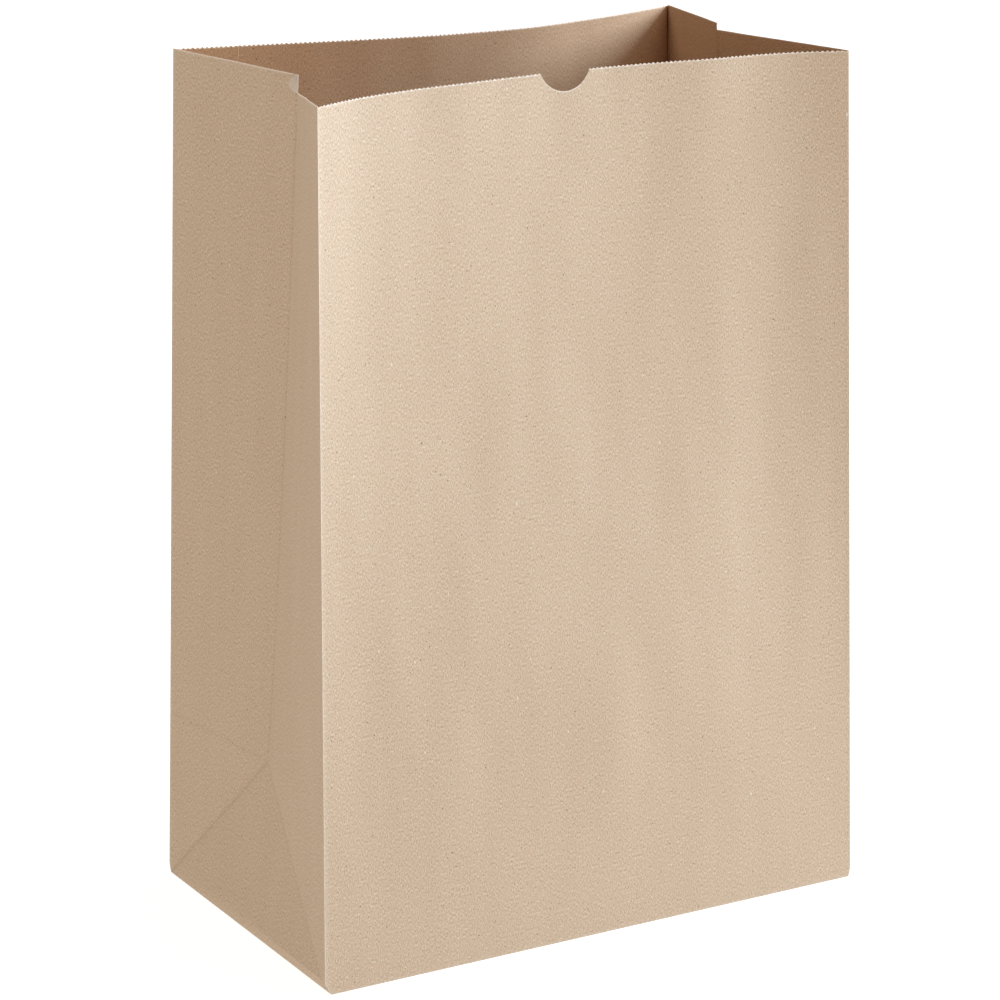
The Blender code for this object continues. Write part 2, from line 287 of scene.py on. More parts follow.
class StudioSettings(bpy.types.PropertyGroup):
    """The camera, the floor and the lights."""

    eye: FloatVectorProperty(
        name="Eye",
        description="Where the camera stands",
        default=(-0.89987, -1.50304, 0.71704),
        unit="LENGTH",
        subtype="TRANSLATION",
    )
    yaw: FloatProperty(
        name="Yaw", description="Turn from +Y towards +X", default=0.53548, unit="ROTATION", subtype="ANGLE"
    )
    pitch: FloatProperty(
        name="Pitch", description="Tilt down", default=0.28539, unit="ROTATION", subtype="ANGLE"
    )
    roll: FloatProperty(
        name="Roll", description="Turn about the view", default=0.00889, unit="ROTATION", subtype="ANGLE"
    )
    lens: FloatProperty(
        name="Lens", description="Focal length on a 36 mm frame", default=130.18, unit="CAMERA"
    )
    floor: colour("Floor", "Sheet of matt glass, whitened by the light under it", "#8C8C8C")
    glow: colour("Floor light", "Colour of the light under the floor", "#FFFDFA")
    floor_glow: FloatProperty(
        name="Floor glow", description="How brightly the floor is lit from below", default=0.9
    )
    key_turn: FloatProperty(
        name="Key turn",
        description="Direction of the key light from the camera's side, -Y, towards +X",
        default=math.radians(77),
        unit="ROTATION",
        subtype="ANGLE",
    )
    key_rise: FloatProperty(
        name="Key rise",
        description="Height of the key light as an angle",
        default=math.radians(30),
        unit="ROTATION",
        subtype="ANGLE",
    )
    key_power: FloatProperty(
        name="Key power", description="Large softbox on the right", default=90, unit="POWER"
    )
    fill_power: FloatProperty(
        name="Fill power", description="Weak softbox before the sack", default=2, unit="POWER"
    )
    key_colour: colour("Key colour", "Both softboxes' colour", "#D3E8FF")
    horizon: colour("Horizon", "Warm light low round the room", "#B0967C")
    gloom: colour("Gloom", "The room's dark walls above it", "#1C1C1C")
    zenith: colour("Zenith", "Light from the ceiling", "#FBF8F6")


class Upright:
    """An upright edge of the sack, from its base corner to the mouth."""

    def __init__(self, s, side_x, side_y, lean, tuck, drop):
        self.base = Vector((side_x * s.width / 2, side_y * s.depth / 2))
        self.lean = Vector(lean)
        self.tuck = Vector((side_x * tuck, 0))
        self.rise = s.height
        self.settle = s.tuck_height
        self.drop = drop
        self.top = s.height - drop

    def at(self, z):
        """Its plan position at a height."""
        share = z / self.rise
        spread = min(max(z / self.settle, 0), 1) * (1 - share)
        return self.base + self.lean * share + self.tuck * spread


def inward(chord):
    """The unit normal of a run round the sack that points inside it."""
    return Vector((-chord.y, chord.x)).normalized()


def smooth(share):
    """An even ramp from 0 to 1."""
    t = min(max(share, 0), 1)
    return t * t * (3 - 2 * t)


def through(values, share):
    """A smooth curve through values at equal steps, read at a share of its run."""
    count = len(values) - 1
    k = min(int(share * count), count - 1)
    t = share * count - k
    here, there = values[k], values[k + 1]
    before = values[k - 1] if k > 0 else 2 * here - there
    after = values[k + 2] if k + 2 <= count else 2 * there - here
    start_slope = (there - before) / 2
    end_slope = (after - here) / 2
    bend = 3 * (there - here) - 2 * start_slope - end_slope
    twist = start_slope + end_slope - 2 * (there - here)
    return here + t * (start_slope + t * (bend + t * twist))


class Sack:
    """Where each point of the flat sheet lies once the sack is folded and opened.

    A flat point has a distance u round the sack, from the front left edge by way of the front
    panel, the right gusset, the back panel and the left gusset, and a height z.
    """

    def __init__(self, s):
        self.s = s
        self.half = s.depth / 2
        self.turn = 2 * s.width + 2 * s.depth
        self.band = RIM_BAND
        self.columns = round(s.width / (2 * s.tooth_pitch))
        self.right_fold = s.width + self.half
        self.back_start = s.width + s.depth
        self.back_end = 2 * s.width + s.depth
        self.left_fold = self.back_end + self.half
        self.flap_reach = self.half + s.bottom_lap / 2
        self.front_left = Upright(s, -1, -1, s.front_left_lean, s.front_left_tuck, s.front_left_drop)
        self.front_right = Upright(s, 1, -1, s.front_right_lean, s.tuck, s.front_right_drop)
        self.back_right = Upright(s, 1, 1, s.back_right_lean, s.tuck, s.back_right_drop)
        self.back_left = Upright(s, -1, 1, s.back_left_lean, s.tuck, s.back_left_drop)
        right_folds = (0, s.width, self.right_fold, self.back_start)
        self.folds = (*right_folds, self.back_end, self.left_fold, self.turn)

    def panel(self, start, end, along, z, bow):
        """A plan point of the front or back panel, and the way inside."""
        first, last = start.at(z), end.at(z)
        share = along / self.s.width
        depth = through(bow, share) * max(z / self.s.height, 0) ** self.s.bow_fade
        near = min(along, self.s.width - along)
        depth += self.s.curl * (1 - math.exp(-near / self.s.curl_reach)) * smooth(z / CURL_RISE)
        belly = math.sin(math.pi * min(max(z / self.s.bulge_top, 0), 1)) ** 2
        depth -= self.s.bulge * belly * math.sin(math.pi * min(max(share, 0), 1))
        side = inward(last - first)
        return first.lerp(last, share) + side * depth, side

    def fold_push(self, chord):
        """How deep a gusset's fold lies behind the line between its two edges."""
        return math.sqrt(max(self.half**2 - (chord / 2) ** 2, 0))

    def gusset(self, start, end, along, z):
        """A plan point of a gusset, and the way inside."""
        first, last = start.at(z), end.at(z)
        share = 1 - abs(along / self.half - 1)
        if z < self.half:
            knee = (end.at(self.half) - start.at(self.half)).length
            push = self.fold_push(knee) * min(share, max(z, 0) / self.half)
        else:
            push = self.fold_push((last - first).length) * share
        near = first if along < self.half else last
        side = inward(last - first)
        return near.lerp((first + last) / 2, share) + side * push, side

    def dent(self, along, z):
        """How far the back panel gives way at the crease of the once flat bottom."""
        half, height = self.half, self.s.height
        rise = z / half if z < half else (height - z) / (height - half)
        return self.s.crease_dent * max(rise, 0) * math.sin(math.pi * along / self.s.width)

    def seam_lift(self, from_left):
        """How far the seam's outer layer lifts the back panel."""
        s = self.s
        if from_left < s.seam_edge + MERGE:
            return 0
        beyond = from_left - s.seam_edge - s.seam_lap - s.paper
        return s.paper * (1 - smooth(beyond / SEAM_FADE))

    def waves(self, u, z, near):
        """The slow waves and fine unevenness of the paper away from its folds."""
        s = self.s
        calm = smooth(near / WAVE_CALM) * smooth(z / WAVE_RISE)
        slow = 0.0
        for share, often, tall, layer in WAVE_LAYERS:
            spot = Vector((often * u / s.wave_width, z / (tall * s.wave_width), layer))
            slow += share * noise.noise(spot)
        fine = noise.noise(Vector((u / s.cockle_width, z / s.cockle_width, COCKLE_LAYER)))
        return s.wave * calm * slow + s.cockle * smooth(near / COCKLE_CALM) * fine

    def plan(self, u, z):
        """The plan point of a flat point, and the way inside there."""
        s = self.s
        if u <= s.width:
            return self.panel(self.front_left, self.front_right, u, z, s.front_bow)
        if u <= self.back_start:
            return self.gusset(self.front_right, self.back_right, u - s.width, z)
        if u <= self.back_end:
            along = u - self.back_start
            point, side = self.panel(self.back_right, self.back_left, along, z, s.back_bow)
            return point + side * (self.dent(along, z) - self.seam_lift(s.width - along)), side
        return self.gusset(self.back_left, self.front_left, u - self.back_end, z)

    def near_fold(self, u):
        """The nearest fold round the sack and how far it is."""
        fold = min(self.folds, key=lambda f: abs(f - u))
        return fold, abs(fold - u)

    def ridge(self, fold, z):
        """The way in which a pressed fold stands out."""
        here = self.plan(fold % self.turn, z)[0]
        before = self.plan((fold - RIDGE_STEP) % self.turn, z)[0]
        after = self.plan((fold + RIDGE_STEP) % self.turn, z)[0]
        return (2 * here - before - after).normalized()

    def pressed(self, u, z):
        """How strongly a point lies on an upright fold, and how far that fold stands out there."""
        fold, near = self.near_fold(u)
        line = math.exp(-((near / self.s.pinch_reach) ** 2))
        if fold in (self.right_fold, self.left_fold):
            return line * smooth((z - self.half) / FOLD_RISE), self.s.gusset_pinch
        return line * smooth(z / EDGE_RISE), self.s.pinch

    def creased(self, u, z):
        """How strongly a point lies on a crease that the folded bottom left, from 0 to 1."""
        reach = self.s.pinch_reach
        line = 0.0
        for start in (self.s.width, self.back_end):
            along = u - start
            if 0 <= along <= self.s.depth and z < self.half + CREASE_SPAN * reach:
                back_half = along > self.half if start == self.s.width else along < self.half
                if z < self.half:
                    off = (min(along, self.s.depth - along) - z) / math.sqrt(2)
                    line = math.exp(-((off / reach) ** 2)) * (1 if back_half else FRONT_CREASE)
                if back_half:
                    level = (z - self.half) / reach
                    line = max(line, LEVEL_CREASE * math.exp(-(level**2)))
        return line

    def point(self, u, z):
        """The place of a flat point on the opened sack."""
        s = self.s
        spot, side = self.plan(u, z)
        fold, near = self.near_fold(u)
        spot = spot + side * (self.waves(u, z, near) + s.crease * self.creased(u, z))
        if near < FOLD_SPAN * s.pinch_reach:
            line, depth = self.pressed(u, z)
            spot = spot + self.ridge(fold, z) * line * depth
        return Vector((spot.x, spot.y, s.paper + z))

    def tab(self, fold, side, off, z):
        """The place of a point of a tab, a distance off its fold."""
        hinge = self.point(fold, z)
        back = self.back_left if side > 0 else self.back_right
        away = (back.at(z) - hinge.xy).normalized()
        out = Matrix.Rotation(side * self.s.tab_turn, 2) @ away * off
        return hinge + Vector((out.x, out.y, 0))


def strips(sack):
    """The flat sheet as six strips of cells side by side, joined along the folds."""
    s = sack.s
    bm = bmesh.new()
    tall = s.height - sack.band
    for start, end in zip(sack.folds, sack.folds[1:]):
        for low, high in ((0, sack.half), (sack.half, tall), (tall, s.height + sack.band)):
            across = sack.columns if end - start > sack.half + s.cell else round((end - start) / s.cell)
            up = round((high - low) / s.cell) if high < s.height else 1
            made = bmesh.ops.create_grid(bm, x_segments=across, y_segments=up, size=0.5)["verts"]
            bmesh.ops.scale(bm, vec=(end - start, high - low, 1), verts=made)
            bmesh.ops.translate(bm, vec=((start + end) / 2, (low + high) / 2, 0), verts=made)
    bmesh.ops.remove_doubles(bm, verts=bm.verts, dist=10 * MERGE)
    return bm


def cut(bm, faces, point, normal, **options):
    """Scores some flat faces along a line, or trims off one side of it."""
    geom = set(faces)
    for face in faces:
        geom.update(face.verts)
        geom.update(face.edges)
    bmesh.ops.bisect_plane(
        bm, geom=list(geom), dist=MERGE, plane_co=(*point, 0), plane_no=(*normal, 0), **options
    )


def between(bm, low, high, floor=0.0, ceiling=1.0):
    """The flat faces between two distances round the sack and two heights."""
    centres = ((f, f.calc_center_median()) for f in bm.faces)
    return [f for f, c in centres if low < c.x < high and floor < c.y < ceiling]


def score(sack, bm):
    """Adds the fine columns and rows that the folds, the seam and the base need."""
    s = sack.s
    reach = s.pinch_reach
    for fold in sack.folds:
        for off in FOLD_COLUMNS:
            for u in (fold - off * reach, fold + off * reach):
                if 0 < u < sack.turn:
                    cut(bm, between(bm, u - s.cell, u + s.cell), (u, 0), (1, 0))
    for seam in (s.seam_edge, s.seam_edge + s.seam_lap):
        for u in (sack.back_end - seam, sack.back_end - seam - s.paper):
            cut(bm, between(bm, u - s.cell, u + s.cell), (u, 0), (1, 0))
    for z in (*BASE_ROWS, s.tuck_height):
        cut(bm, between(bm, 0, sack.turn, 0, 2 * s.cell), (0, z), (0, 1))
    for fold in (sack.right_fold, sack.left_fold):
        for off in KNEE_ROWS:
            knee = between(bm, fold - sack.half, fold + sack.half, sack.half - s.cell, sack.half + s.cell)
            cut(bm, knee, (0, sack.half + off * reach), (0, 1))
        for lean in (1, -1):
            for off in SLANT_ROWS:
                square = between(bm, fold - sack.half, fold + sack.half, 0, sack.half)
                cut(bm, square, (fold, sack.half + off * reach), (lean, 1))


def notch_arc(sack):
    """The thumb notch's arc, from its left lip to its right one."""
    s = sack.s
    middle = s.width / 2 + s.notch_shift
    reach = s.notch_width / 2
    radius = (reach**2 + s.notch_depth**2) / (2 * s.notch_depth)
    widest = math.asin(reach / radius)
    points = []
    for k in range(NOTCH_POINTS + 1):
        u = middle + radius * math.sin(widest * (2 * k / NOTCH_POINTS - 1))
        rim = s.height - sack.front_left.drop * (1 - u / s.width) - sack.front_right.drop * u / s.width
        points.append((u, rim - math.sqrt(radius**2 - (u - middle) ** 2) + radius - s.notch_depth))
    return points


def trim(sack, bm, start, low, end, high):
    """Cuts off the band above a straight line from one point of the mouth to the next."""
    floor = sack.s.height - sack.band
    up = Vector((low - high, end - start, 0)).normalized()
    cut(bm, between(bm, start, end, floor), (start, low), up.xy)
    band = between(bm, start, end, floor)
    waste = [f for f in band if (f.calc_center_median() - Vector((start, low, 0))).dot(up) > 0]
    bmesh.ops.delete(bm, geom=waste, context="FACES")


def trim_mouth(sack, bm):
    """Cuts the mouth from fold to fold, with a step at each gusset's fold and the thumb notch."""
    s = sack.s
    left, right = sack.front_left.top, sack.front_right.top
    runs = (
        (0, left, s.width, right),
        (s.width, right, sack.right_fold, s.height - s.right_fold_front_drop),
        (sack.right_fold, s.height - s.right_fold_back_drop, sack.back_start, sack.back_right.top),
        (sack.back_start, sack.back_right.top, sack.back_end, sack.back_left.top),
        (sack.back_end, sack.back_left.top, sack.left_fold, s.height - s.left_fold_back_drop),
        (sack.left_fold, s.height - s.left_fold_front_drop, sack.turn, left),
    )
    for start, low, end, high in runs:
        slope = Vector((low - high, end - start)).normalized()
        for below in RIM_ROWS:
            band = between(bm, start, end, s.height - sack.band)
            cut(bm, band, (start, low - below), slope)
        trim(sack, bm, start, low, end, high)
    arc = notch_arc(sack)
    for u, z in arc:
        cut(bm, between(bm, u - 2 * s.cell, u + 2 * s.cell, s.height - sack.band), (u, 0), (1, 0))
    for here, there in zip(arc, arc[1:]):
        up = Vector((here[1] - there[1], there[0] - here[0])).normalized()
        below = Vector(here) - up * RIM_ROWS[0]
        cut(bm, between(bm, here[0], there[0], s.height - sack.band), below, up)
        trim(sack, bm, *here, *there)
    return arc[0][0], arc[-1][0]


def mouth_edges(sack, bm, start, end):
    """The edges of the mouth between two distances round the sack."""
    floor = sack.s.height - sack.band + MERGE
    found = []
    for edge in bm.edges:
        low, high = sorted(v.co.x for v in edge.verts)
        above = min(v.co.y for v in edge.verts) > floor
        if len(edge.link_faces) == 1 and above and start - MERGE < low < high - MERGE < end:
            found.append(edge)
    return found


def cut_teeth(sack, bm, panel, start, end):
    """Gives a stretch of a panel's mouth its saw teeth, counted from where the panel starts."""
    s = sack.s
    pitch = s.width / (2 * sack.columns)
    for edge in mouth_edges(sack, bm, start, end):
        pieces = round(2 * edge.calc_length() / pitch)
        if pieces > 1:
            bmesh.ops.subdivide_edges(bm, edges=[edge], cuts=pieces - 1)
    for vert in {v for e in mouth_edges(sack, bm, start, end) for v in e.verts}:
        phase = (vert.co.x - panel) / pitch
        vert.co.y -= s.tooth_depth * 2 * abs(phase - round(phase))


def add_tab(bm, mark, fold, side, low, high):
    """Adds the half-round tab beside the step at a gusset's fold, and marks its points."""
    radius = (high - low) / 2
    made = bmesh.ops.create_circle(bm, cap_ends=True, segments=TAB_SIDES, radius=radius)["verts"]
    bmesh.ops.translate(bm, vec=(fold, low + radius, 0), verts=made)
    for vert in made:
        vert[mark] = side if abs(vert.co.x - fold) > MERGE else 0
    faces = list({f for v in made for f in v.link_faces})
    cut(bm, faces, (fold, 0), (side, 0), clear_inner=True)


def lay_out(bm):
    """Keeps the flat sheet's own coordinates, in metres, as the pattern's map."""
    chart = bm.loops.layers.uv.new("Sheet")
    for face in bm.faces:
        for loop in face.loops:
            loop[chart].uv = loop.vert.co.xy


def fold_up(sack, bm, mark):
    """Folds the flat sheet into the sack, pastes its ends, and closes the bottom."""
    highlight = bm.verts.layers.float.new("fold_highlight")
    crease = bm.verts.layers.float.new("crease")
    fray = bm.verts.layers.float.new("fray")
    cuts = {v for e in bm.edges if e.is_boundary for v in e.verts if v.co.y > MERGE}
    for vert in cuts:
        vert[fray] = TAB_FRAY if vert[mark] else 1.0
    for vert in bm.verts:
        u, z, side = vert.co.x, vert.co.y, vert[mark]
        fold = sack.near_fold(u)[0]
        middle = fold in (sack.right_fold, sack.left_fold)
        line = sack.pressed(u, z)[0]
        # A painted highlight along the pressed edges and just above the base's edge
        vert[highlight] = max(0 if middle else line, math.exp(-((z / BASE_HIGHLIGHT) ** 2)))
        # Dirt and painted shade along the creases and the gussets' middle folds
        vert[crease] = max(sack.creased(u, z), FOLD_DIRT_AND_SHADE * line if middle else 0)
        if side:
            fold = sack.left_fold if side > 0 else sack.right_fold
            vert.co = sack.tab(fold, side, abs(u - fold), z)
        else:
            vert.co = sack.point(u, z)
    bmesh.ops.remove_doubles(bm, verts=bm.verts, dist=MERGE)
    floor = sack.s.paper + MERGE
    rim = [e for e in bm.edges if max(v.co.z for v in e.verts) < floor]
    bottom = bmesh.ops.contextual_create(bm, geom=rim)["faces"]
    chart = bm.loops.layers.uv["Sheet"]
    for face in bottom:
        for loop in face.loops:
            loop[chart].uv = loop.vert.co.xy + Vector(BASE_PLACE)


def paste_flap(bm, low, high, left, right, near, far, slants, shown):
    """Adds a flap of the bottom: a plate between two heights, trimmed by slanting lines.

    It shows the sheet's felt side, 0, or its wire side, 1.
    """
    done = set(bm.faces)
    made = bmesh.ops.create_grid(bm, x_segments=1, y_segments=1, size=0.5)["verts"]
    bmesh.ops.scale(bm, vec=(right - left, far - near, 1), verts=made)
    bmesh.ops.translate(bm, vec=((left + right) / 2, (near + far) / 2, low), verts=made)
    for point, normal in slants:
        cut(bm, [f for f in bm.faces if f not in done], point, normal, clear_outer=True)
    fresh = [f for f in bm.faces if f not in done]
    raised = bmesh.ops.extrude_face_region(bm, geom=fresh)["geom"]
    raised = [v for v in raised if isinstance(v, bmesh.types.BMVert)]
    bmesh.ops.translate(bm, vec=(0, 0, high - low), verts=raised)
    for face in bm.faces:
        if face not in done:
            face.material_index = shown


def bottom_flaps(sack):
    """The bottom's folded layers: two long flaps that overlap under the base, and two side flaps inside."""
    s = sack.s
    bm = bmesh.new()
    wide = s.width / 2 - FLAP_SETBACK
    deep = sack.half - FLAP_SETBACK
    reach = sack.flap_reach
    for side, low in ((1, 0), (-1, s.flap_paper + LAYER_GAP)):
        near, far = sorted((side * deep, side * (deep - reach)))
        slants = [((end * wide, side * deep), (end, -side)) for end in (1, -1)]
        paste_flap(bm, low, low + s.flap_paper, -wide, wide, near, far, slants, 0)
    inside = s.width / 2 - 2 * s.paper
    edge = sack.half - 2 * s.paper
    low = 2 * s.paper + LAYER_GAP
    for side in (1, -1):
        left, right = sorted((side * inside, side * (inside - reach)))
        paste_flap(bm, low, low + s.paper, left, right, -edge, edge, (), 1)
    lay_out(bm)
    bmesh.ops.recalc_face_normals(bm, faces=bm.faces)
    return add_piece("pasted_bottom_flaps", bm)


def soften(bm):
    """Shades the sheet smoothly, and keeps its cut edges and pressed folds crisp."""
    for face in bm.faces:
        face.smooth = True
    for edge in bm.edges:
        crisp = edge.is_boundary or edge.seam or edge.calc_face_angle(0) > CRISP
        edge.smooth = not crisp


def mark_layers(sack, bm):
    """Weights each point by its layers of paper, two in the seam's overlap, and marks the step there."""
    s = sack.s
    group = bm.verts.layers.deform.verify()
    last = sack.back_end - s.seam_edge - s.paper
    first = sack.back_end - s.seam_edge - s.seam_lap
    for vert in bm.verts:
        doubled = first - MERGE < vert.co.x < last + MERGE
        vert[group][0] = 1.0 if doubled else 0.5
    for edge in bm.edges:
        steps = [min(abs(v.co.x - first), abs(v.co.x - first + s.paper)) for v in edge.verts]
        edge.seam = max(steps) < MERGE


def add_piece(name, bm):
    """Puts a finished mesh in the scene."""
    mesh = bpy.data.meshes.new(name)
    bm.to_mesh(mesh)
    bm.free()
    thing = bpy.data.objects.new(name, mesh)
    bpy.context.collection.objects.link(thing)
    return thing


def add(tree, kind, inputs=None, **settings):
    """Adds a node, sets its properties, and gives each input a value or a link."""
    made = tree.nodes.new(kind)
    for key, value in settings.items():
        setattr(made, key, value)
    for key, value in (inputs or {}).items():
        if isinstance(value, bpy.types.NodeSocket):
            tree.links.new(value, made.inputs[key])
        else:
            made.inputs[key].default_value = value
    return made


def specks(tree, place, spacing, share, radius):
    """A mask of scattered round specks, each of its own strength and size, in millimetres.

    The share is that of the cells, one spacing wide, which hold no speck at all. The radius is that
    of the largest speck.
    """
    cells = add(tree, "ShaderNodeTexVoronoi", {"Vector": place, "Scale": 1 / spacing, "Randomness": 1.0})
    chance = add(tree, "ShaderNodeSeparateColor", {"Color": cells.outputs["Color"]})
    reach = add(
        tree,
        "ShaderNodeMapRange",
        {"Value": chance.outputs["Red"], "From Min": share, "To Min": 0.0, "To Max": radius / spacing},
    )
    inside = add(
        tree,
        "ShaderNodeMath",
        {0: cells.outputs["Distance"], 1: reach.outputs["Result"]},
        operation="LESS_THAN",
    )
    strong = add(
        tree,
        "ShaderNodeMath",
        {0: inside.outputs["Value"], 1: chance.outputs["Green"]},
        operation="MULTIPLY",
    )
    return strong.outputs["Value"]


def tinted(tree, base, tint, mask, strength):
    """The base colour with a tint laid over it by a mask, at most by the given strength."""
    share = add(tree, "ShaderNodeMath", {0: mask, 1: strength}, operation="MULTIPLY")
    laid = add(
        tree,
        "ShaderNodeMix",
        {"Factor": share.outputs["Value"], "A": base, "B": (*tint, 1)},
        data_type="RGBA",
    )
    return laid.outputs["Result"]


def kraft_paper(name, finish, tint):
    """Machine-finished unbleached kraft paper with recycled fibre, for either side of the sheet; the wire
    side's darker, redder tint is its own tone together with painted shade inside the sack.

    The sheet is pressed and dried, not coated, so it is matt. Matted fibres give it a sandy grain
    that runs upright, and bark, print and white fibre leave small specks.
    """
    material = bpy.data.materials.new(name)
    material.use_nodes = True
    tree = material.node_tree
    shader = tree.nodes["Principled BSDF"]
    chart = add(tree, "ShaderNodeUVMap", uv_map="Sheet").outputs["UV"]
    # The sheet's own millimetres, plain, and drawn out along the fibres' upright run
    place = add(tree, "ShaderNodeMapping", {"Vector": chart, "Scale": (1000, 1000, 1)}).outputs["Vector"]
    run = add(tree, "ShaderNodeMapping", {"Vector": place, "Scale": (1, 0.42, 1)}).outputs["Vector"]
    long_run = add(tree, "ShaderNodeMapping", {"Vector": place, "Scale": (1, 0.16, 1)}).outputs["Vector"]

    # The sandy grain of matted fibres, 0.5 mm wide and 1.3 mm tall, as coarse as it needs to be to show
    grain = add(tree, "ShaderNodeTexNoise", {"Vector": run, "Scale": 1.9, "Detail": 1, "Roughness": 0.6})
    start, end = SAND_RANGE
    sand = add(
        tree, "ShaderNodeMapRange", {"Value": grain.outputs["Fac"], "From Min": start, "From Max": end}
    )
    mix = add(
        tree,
        "ShaderNodeMix",
        {"Factor": sand.outputs["Result"], "A": (*finish.pulp, 1), "B": (*finish.kraft, 1)},
        data_type="RGBA",
    )
    base = mix.outputs["Result"]
    # Fibre flocks in a redder brown, about 2 mm across
    flock = add(tree, "ShaderNodeTexNoise", {"Vector": run, "Scale": 0.45, "Detail": 2})
    start, end = FLOCK_RANGE
    warm = add(
        tree, "ShaderNodeMapRange", {"Value": flock.outputs["Fac"], "From Min": start, "From Max": end}
    )
    base = tinted(tree, base, finish.warm, warm.outputs["Result"], FLOCK_TINT)
    # The sheet's faint cloudy formation, in upright patches of about 11 mm by 70 mm
    cloud = add(tree, "ShaderNodeTexNoise", {"Vector": long_run, "Scale": 0.09, "Detail": 3})
    start, end = CLOUD_RANGE
    thin = add(
        tree, "ShaderNodeMapRange", {"Value": cloud.outputs["Fac"], "From Min": start, "From Max": end}
    )
    base = tinted(tree, base, finish.pulp, thin.outputs["Result"], CLOUD_TINT)
    # Sparse dark specks of bark, closer and fainter ones of print, and flecks of white fibre, all up
    # to 0.8 mm across
    base = tinted(tree, base, finish.bark, specks(tree, place, *BARK_SPECKS), BARK_TINT)
    base = tinted(tree, base, finish.bark, specks(tree, place, *PRINT_SPECKS), PRINT_TINT)
    base = tinted(tree, base, finish.bleached, specks(tree, run, *WHITE_FLECKS), FLECK_TINT)
    # A pressed edge and the base's edge get a pale painted highlight, and a crease is darkened a little by
    # dirt and painted shade
    highlight = add(tree, "ShaderNodeAttribute", attribute_name="fold_highlight")
    base = tinted(tree, base, finish.bleached, highlight.outputs["Fac"], HIGHLIGHT_TINT)
    # The knife leaves pale torn fibres, which stand out along the mouth's edge
    fray = add(tree, "ShaderNodeAttribute", attribute_name="fray")
    rim = add(tree, "ShaderNodeMath", {0: fray.outputs["Fac"], 1: FRAY_FALL}, operation="POWER")
    base = tinted(tree, base, finish.cut_edge, rim.outputs["Value"], FRAY_TINT)
    # The crease's darker line, in the bark's colour, is dirt and painted shade
    crease_dirt_and_shade = add(tree, "ShaderNodeAttribute", attribute_name="crease")
    base = tinted(tree, base, finish.bark, crease_dirt_and_shade.outputs["Fac"], CREASE_DIRT_AND_SHADE_TINT)
    # The wire side's tint, darker and redder, is the side's own tone and painted shade inside the sack
    toned = add(
        tree,
        "ShaderNodeMix",
        {"Factor": 1.0, "A": base, "B": (*tint, 1)},
        data_type="RGBA",
        blend_type="MULTIPLY",
    )
    tree.links.new(toned.outputs["Result"], shader.inputs["Base Color"])
    # The fibres' relief, a few hundredths of a millimetre high and pressed almost flat by the rolls
    bump = add(
        tree, "ShaderNodeBump", {"Height": grain.outputs["Fac"], "Distance": 0.00005, "Strength": 0.08}
    )
    tree.links.new(bump.outputs["Normal"], shader.inputs["Normal"])
    shader.inputs["Roughness"].default_value = finish.roughness
    shader.inputs["Specular IOR Level"].default_value = 0.3
    shader.inputs["Metallic"].default_value = 0.0
    return material


def cut_edge(finish):
    """The cut edge of the sheet: open torn fibres, paler and rougher than its faces."""
    material = bpy.data.materials.new("kraft_cut_edge")
    material.use_nodes = True
    tree = material.node_tree
    shader = tree.nodes["Principled BSDF"]
    chart = add(tree, "ShaderNodeUVMap", uv_map="Sheet")
    # Fibre bundles about 1 mm long, on the map in metres
    fray = add(tree, "ShaderNodeTexNoise", {"Vector": chart.outputs["UV"], "Scale": 900, "Detail": 2})
    tint = add(
        tree,
        "ShaderNodeMix",
        {"Factor": fray.outputs["Fac"], "A": (*finish.cut_edge, 1), "B": (*finish.kraft, 1)},
        data_type="RGBA",
    )
    tree.links.new(tint.outputs["Result"], shader.inputs["Base Color"])
    shader.inputs["Roughness"].default_value = 0.95
    shader.inputs["Specular IOR Level"].default_value = 0.2
    return material


class SACK_OT_bag(bpy.types.Operator):
    """Make the open paper sack and the flaps of its bottom"""

    bl_idname = "sack.bag"
    bl_label = "Paper sack"

    def execute(self, context):
        s = context.scene.sack_sizes
        sack = Sack(s)
        bm = strips(sack)
        score(sack, bm)
        left_lip, right_lip = trim_mouth(sack, bm)
        cut_teeth(sack, bm, 0, 0, left_lip)
        cut_teeth(sack, bm, 0, right_lip, s.width)
        cut_teeth(sack, bm, sack.back_start, sack.back_start, sack.back_end)
        mark = bm.verts.layers.int.new("tab")
        top = s.height
        add_tab(bm, mark, sack.right_fold, -1, top - s.right_fold_front_drop, top - s.right_fold_back_drop)
        add_tab(bm, mark, sack.left_fold, 1, top - s.left_fold_front_drop, top - s.left_fold_back_drop)
        mark_layers(sack, bm)
        bmesh.ops.triangulate(bm, faces=bm.faces[:])
        lay_out(bm)
        fold_up(sack, bm, mark)
        bmesh.ops.triangulate(bm, faces=bm.faces[:])
        bmesh.ops.recalc_face_normals(bm, faces=bm.faces)
        soften(bm)
        bag = add_piece("open_paper_sack", bm)
        flaps = bottom_flaps(sack)
        finish = context.scene.sack_finish
        felt_side = kraft_paper("kraft_paper_felt_side", finish, (1, 1, 1))
        # The inside's material is a darker, redder copy of the outside's: the wire side's tone and painted
        # shade
        shaded_wire_side = kraft_paper("kraft_paper_wire_side", finish, finish.inner)
        for material in (felt_side, cut_edge(finish), shaded_wire_side):
            bag.data.materials.append(material)
        for material in (felt_side, shaded_wire_side):
            flaps.data.materials.append(material)
        bag.vertex_groups.new(name="layers")
        wall = bag.modifiers.new("Paper", "SOLIDIFY")
        wall.thickness = 2 * s.paper
        wall.offset = -1
        wall.use_even_offset = True
        wall.use_quality_normals = True
        wall.vertex_group = "layers"
        wall.material_offset = 2
        wall.material_offset_rim = 1
        for piece in (bag, flaps):
            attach(piece, "root")
            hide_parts("paper_bag")
        return {"FINISHED"}


